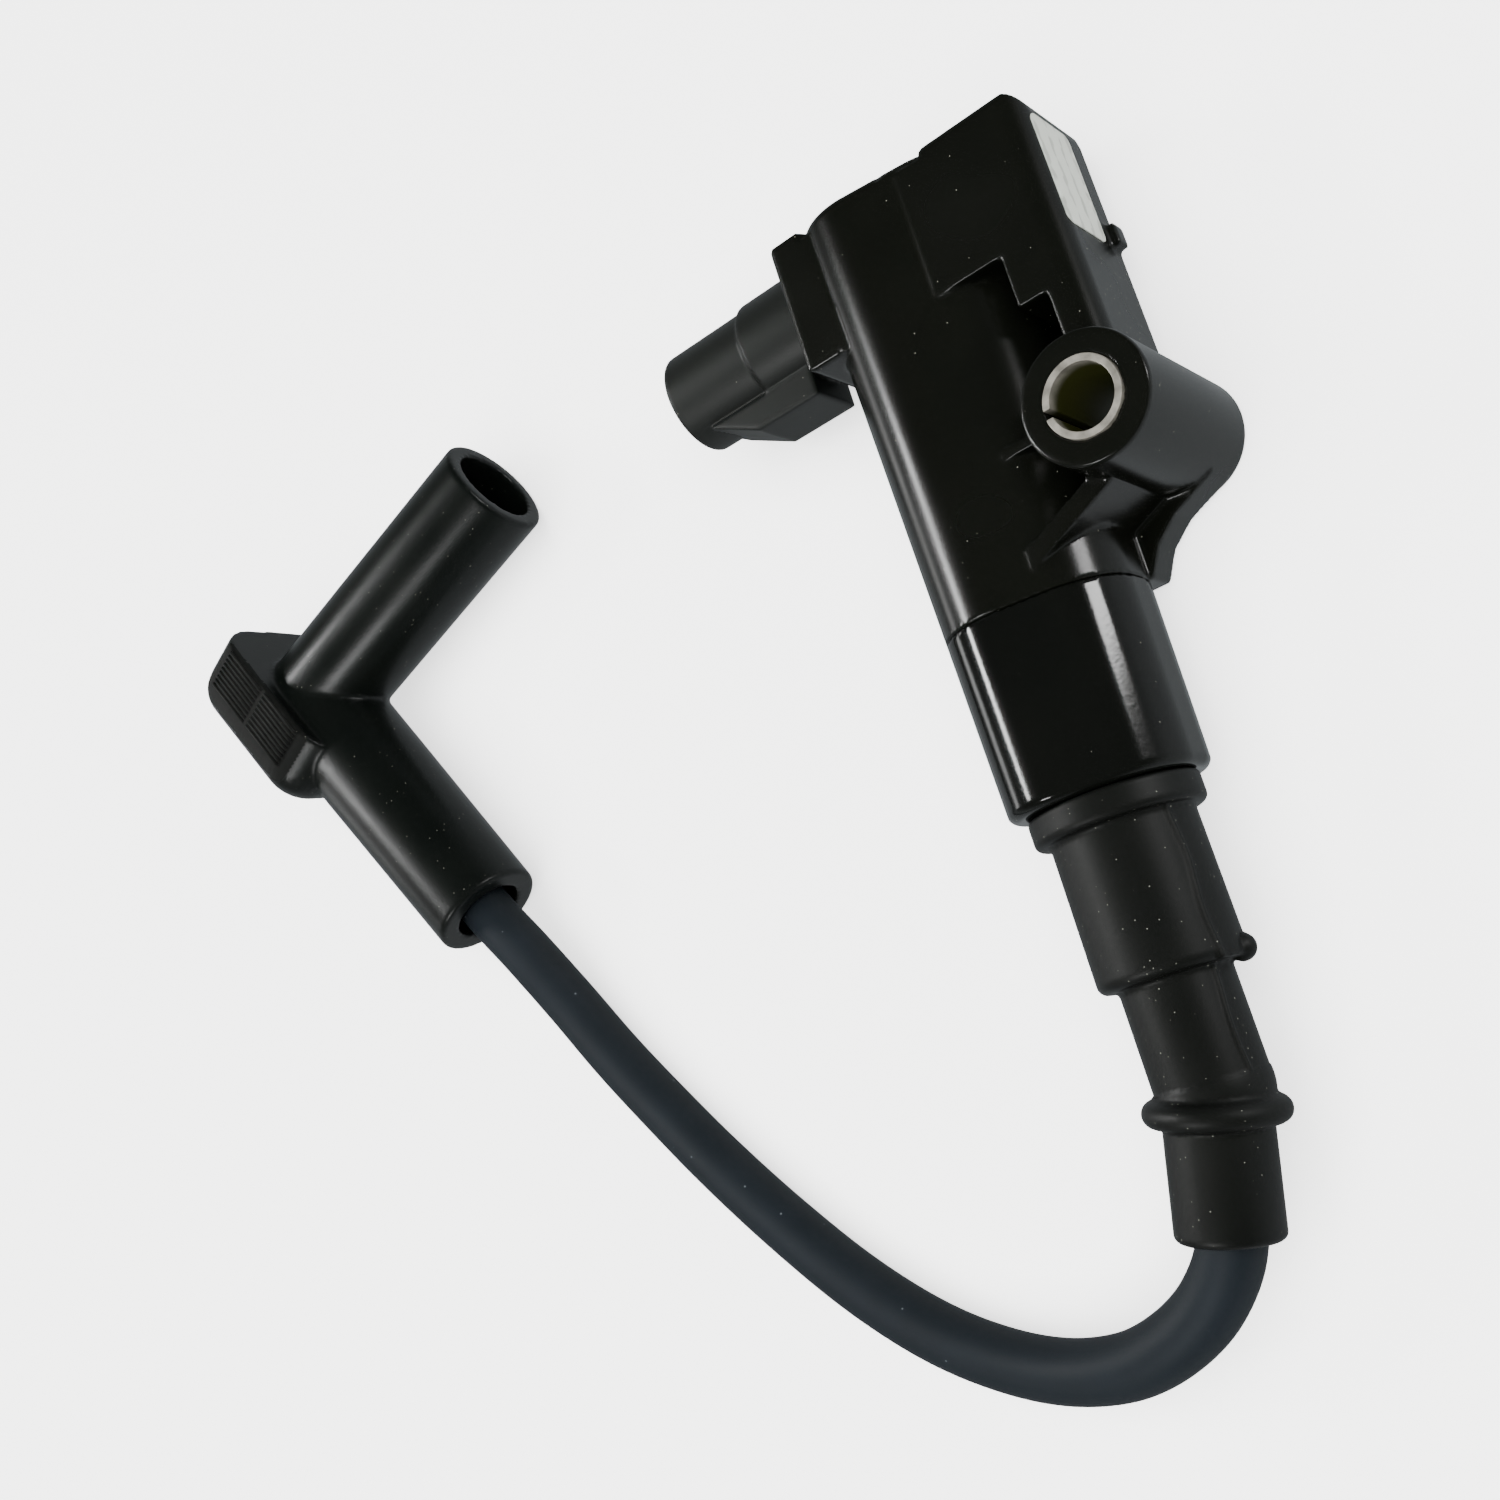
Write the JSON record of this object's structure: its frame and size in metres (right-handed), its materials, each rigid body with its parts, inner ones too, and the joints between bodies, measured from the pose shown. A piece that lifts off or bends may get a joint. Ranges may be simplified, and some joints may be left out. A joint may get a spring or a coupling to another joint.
{
  "type": "ignition coil",
  "caption": "Small-engine ignition coil with a sleeved bolt boss, side connector, glossy tower, rubber coil boot and a short high-voltage lead to an elbow spark-plug boot",
  "frame": {"origin": "centre of the bolt hole on the boss's seating face", "axes": "+Z along the bolt hole away from the seating face, +Y along the coil body towards its head, +X towards the labelled side of the head"},
  "size_m": [0.1505, 0.1393, 0.0255],
  "materials": {
    "case_plastic": "moulded black thermoplastic, semi-gloss",
    "tower_plastic": "moulded black thermoplastic, glossy",
    "shroud_plastic": "moulded black thermoplastic, matte",
    "bobbin_plastic": "glass-filled nylon",
    "zinc_steel": "zinc-plated rolled steel",
    "core_steel": "silicon steel sheet",
    "spring_steel": "stainless spring steel",
    "magnet": "sintered magnet",
    "brass": "stamped brass",
    "tinned_brass": "tin-plated brass",
    "enamelled_wire": "enamelled copper winding",
    "resin": "cured epoxy resin",
    "label_paper": "plain printed sticker",
    "seal_rubber": "silicone rubber",
    "boot_rubber": "moulded black rubber",
    "lead_rubber": "matte blue-black lead jacket"
  },
  "bodies": {
    "coil": {"coil_case": "case_plastic", "tower_housing": "tower_plastic", "compression_sleeve": "zinc_steel", "head_potting": "resin", "label": "label_paper", "connector_shroud": "shroud_plastic", "connector_seal": "seal_rubber", "terminal_blade_upper": "tinned_brass", "terminal_blade_lower": "tinned_brass", "lead_frame": "tinned_brass", "core_laminations": "core_steel", "bias_magnet": "magnet", "primary_bobbin": "bobbin_plastic", "primary_winding": "enamelled_wire", "secondary_bobbin": "bobbin_plastic", "secondary_winding": "enamelled_wire", "flux_shield": "core_steel", "body_potting": "resin", "high_voltage_cup": "brass", "contact_spring": "spring_steel", "coil_end_terminal": "brass", "coil_boot": "boot_rubber", "lead": "lead_rubber"},
    "elbow": {"elbow_boot": "boot_rubber", "plug_end_terminal": "brass", "plug_clip": "spring_steel"}
  },
  "joints": [
    {"name": "elbow_twist", "type": "hinge", "parent": "coil", "child": "elbow", "pos_m": [-0.1094, -0.0167, 0.008], "axis": [0.4612, -0.8847, -0.0672], "range_deg": [-40, 40]}
  ]
}
